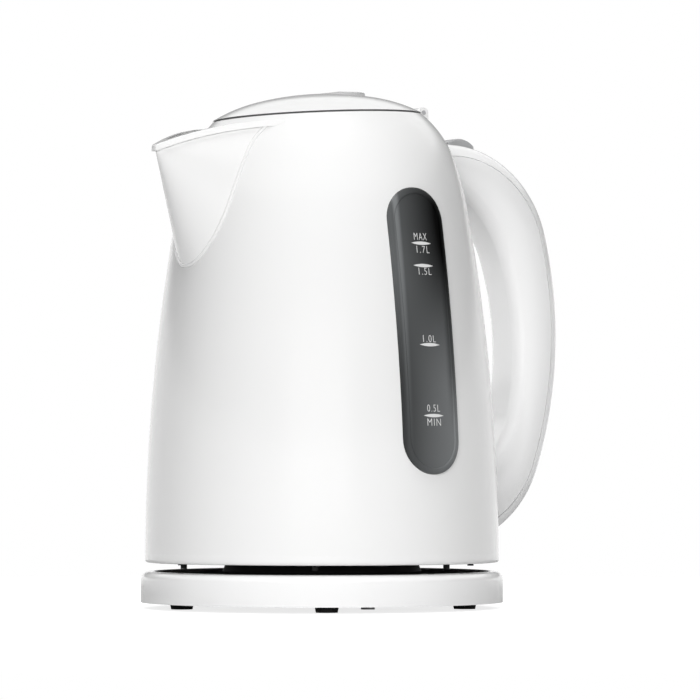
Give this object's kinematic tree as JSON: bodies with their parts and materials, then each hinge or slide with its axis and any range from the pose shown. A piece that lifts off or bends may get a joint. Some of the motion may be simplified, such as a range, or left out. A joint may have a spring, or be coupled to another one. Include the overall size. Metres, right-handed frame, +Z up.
{
  "type": "electric kettle",
  "caption": "Cordless electric jug kettle with a tapered body, wedge spout, hinged lid, loop handle and smoked water window, standing on a round power base.",
  "frame": {"origin": "on the table, on the vertical axis of the power base", "axes": "+Z up; the spout points to -X, the handle to +X and the water window to -Y"},
  "size_m": [0.2058, 0.16, 0.2294],
  "materials": {
    "white_gloss": "gloss white",
    "white_matte": "plain white, unpolished",
    "grip_grey": "gloss, slightly grey",
    "lever_grey": "gloss grey",
    "mesh_grey": "fine woven mesh",
    "smoke_window": "smoked clear plastic",
    "clear_rubber": "silicone",
    "black_rubber": "matte",
    "black_plastic": "matte",
    "wire_cover": "insulation",
    "contact_brass": "bright",
    "plate_steel": "brushed",
    "screw_steel": "plain",
    "spreader_aluminium": "cast"
  },
  "bodies": {
    "power_base": {"base_cover": "white_gloss", "base_bottom_plate": "white_matte", "base_feet": "black_rubber", "base_connector": "black_plastic", "base_live_pin": "contact_brass", "base_contact_ring": "contact_brass", "base_screws": "screw_steel", "cord_gland": "black_plastic"},
    "jug_socket": {"socket_contacts": "contact_brass"},
    "jug": {"jug_shell": "white_gloss", "spout": "white_gloss", "heater_ledge": "white_matte", "spout_filter_frame": "white_matte", "spout_filter_mesh": "mesh_grey", "water_window": "smoke_window", "window_seal": "clear_rubber", "heater_plate": "plate_steel", "heater_seal": "clear_rubber", "heat_spreader": "spreader_aluminium", "heating_element": "spreader_aluminium", "control_unit": "black_plastic", "dry_boil_discs": "plate_steel", "jug_bottom_cover": "black_plastic", "jug_feet": "black_rubber", "jug_cover_screws": "screw_steel", "handle_grip": "white_gloss", "handle_cover": "white_gloss", "handle_screw": "screw_steel", "steam_switch": "black_plastic", "steam_disc": "plate_steel", "steam_duct": "white_matte", "switch_wires": "wire_cover", "switch_pin": "screw_steel", "hinge_pin": "screw_steel"},
    "lid": {"lid_cover": "white_gloss", "lid_liner": "white_matte", "lid_seal": "clear_rubber", "lid_grip": "grip_grey", "lid_screws": "screw_steel"},
    "switch": {"switch_lever": "lever_grey"}
  },
  "joints": [
    {"name": "jug_lift", "type": "slide", "parent": "power_base", "child": "jug_socket", "axis": [0, 0, 1], "range_m": [0, 0.1]},
    {"name": "jug_swivel", "type": "hinge", "parent": "jug_socket", "child": "jug", "pos_m": [0, 0, 0.0202], "axis": [0, 0, 1], "continuous": true},
    {"name": "lid_hinge", "type": "hinge", "parent": "jug", "child": "lid", "pos_m": [0.04601, 0, 0.22082], "axis": [0, 1, 0], "range_deg": [0, 80]},
    {"name": "switch_toggle", "type": "hinge", "parent": "jug", "child": "switch", "pos_m": [0.07304, 0, 0.20036], "axis": [0, -1, 0], "range_deg": [0, 9]}
  ]
}
